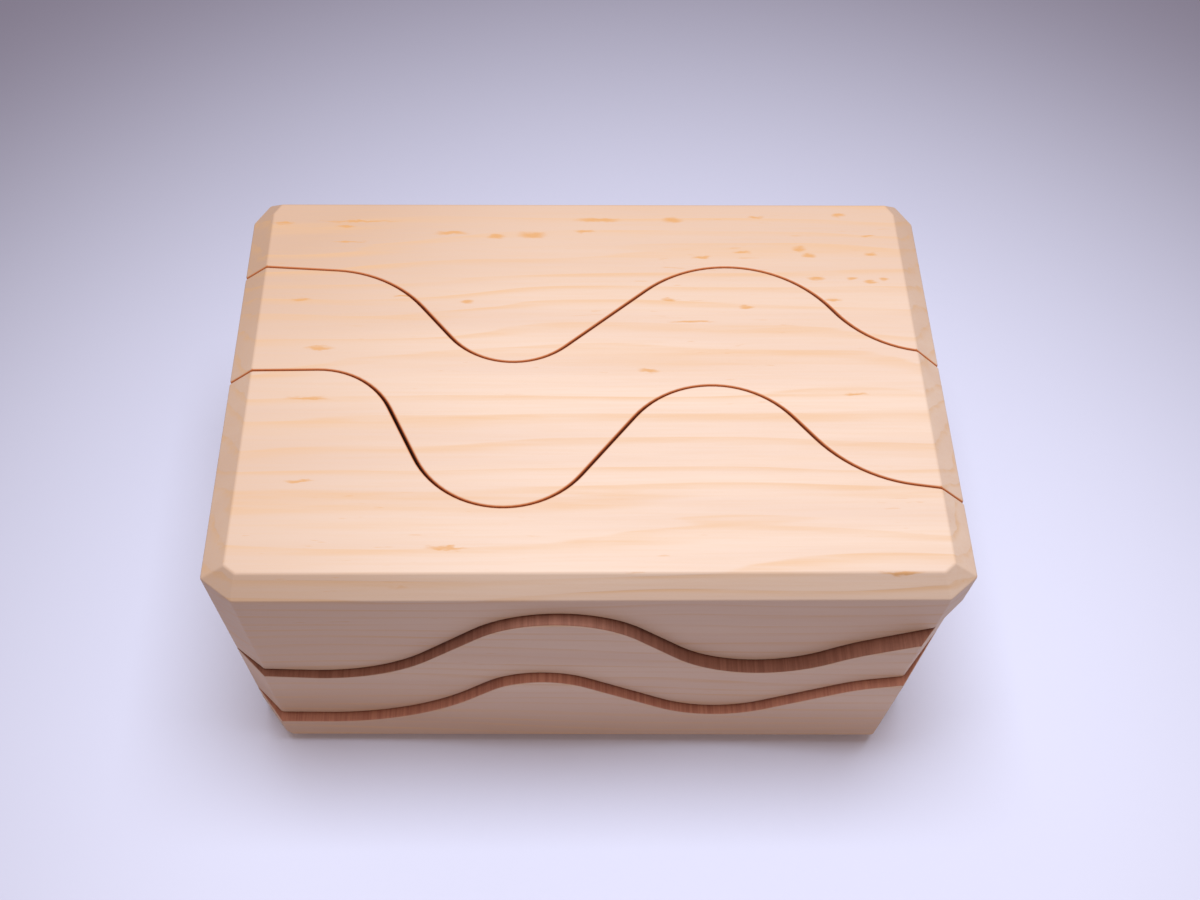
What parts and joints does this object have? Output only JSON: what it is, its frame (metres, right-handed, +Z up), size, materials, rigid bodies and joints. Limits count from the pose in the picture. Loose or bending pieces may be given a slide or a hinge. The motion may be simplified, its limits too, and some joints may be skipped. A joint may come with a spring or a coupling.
{
  "type": "wooden puzzle box",
  "caption": "Rectangular wooden puzzle box sawn by wavy cuts into interlocking blocks, with a hidden compartment in the centre block.",
  "frame": {"origin": "middle of the footprint on the surface it stands on", "axes": "+X along the length and the grain to the viewer's right, +Y to the back, +Z up"},
  "size_m": [0.1524, 0.1067, 0.0724],
  "materials": {
    "pine": "satin",
    "pine_inner": "matte"
  },
  "bodies": {
    "base": {"bottom_middle": "pine"},
    "centre": {"centre_walls": "pine_inner", "centre_floor": "pine_inner"},
    "lid": {"top_middle": "pine"},
    "bottom_front": {"bottom_front": "pine"},
    "middle_front": {"middle_front": "pine"},
    "top_front": {"top_front": "pine"},
    "bottom_back": {"bottom_back": "pine"},
    "middle_back": {"middle_back": "pine"},
    "top_back": {"top_back": "pine"}
  },
  "joints": [
    {"name": "centre_lift", "type": "slide", "parent": "base", "child": "centre", "axis": [0, 0, 1], "range_m": [0, 0.075]},
    {"name": "lid_lift", "type": "slide", "parent": "centre", "child": "lid", "axis": [0, 0, 1], "range_m": [0, 0.06]},
    {"name": "bottom_front_pull", "type": "slide", "parent": "base", "child": "bottom_front", "axis": [0, -1, 0], "range_m": [0, 0.07]},
    {"name": "middle_front_pull", "type": "slide", "parent": "bottom_front", "child": "middle_front", "axis": [0, -1, 0], "range_m": [0, 0.06]},
    {"name": "top_front_lift", "type": "slide", "parent": "middle_front", "child": "top_front", "axis": [0, 0, 1], "range_m": [0, 0.05]},
    {"name": "bottom_back_pull", "type": "slide", "parent": "base", "child": "bottom_back", "axis": [0, 1, 0], "range_m": [0, 0.07]},
    {"name": "middle_back_pull", "type": "slide", "parent": "bottom_back", "child": "middle_back", "axis": [0, 1, 0], "range_m": [0, 0.06]},
    {"name": "top_back_lift", "type": "slide", "parent": "middle_back", "child": "top_back", "axis": [0, 0, 1], "range_m": [0, 0.05]}
  ]
}
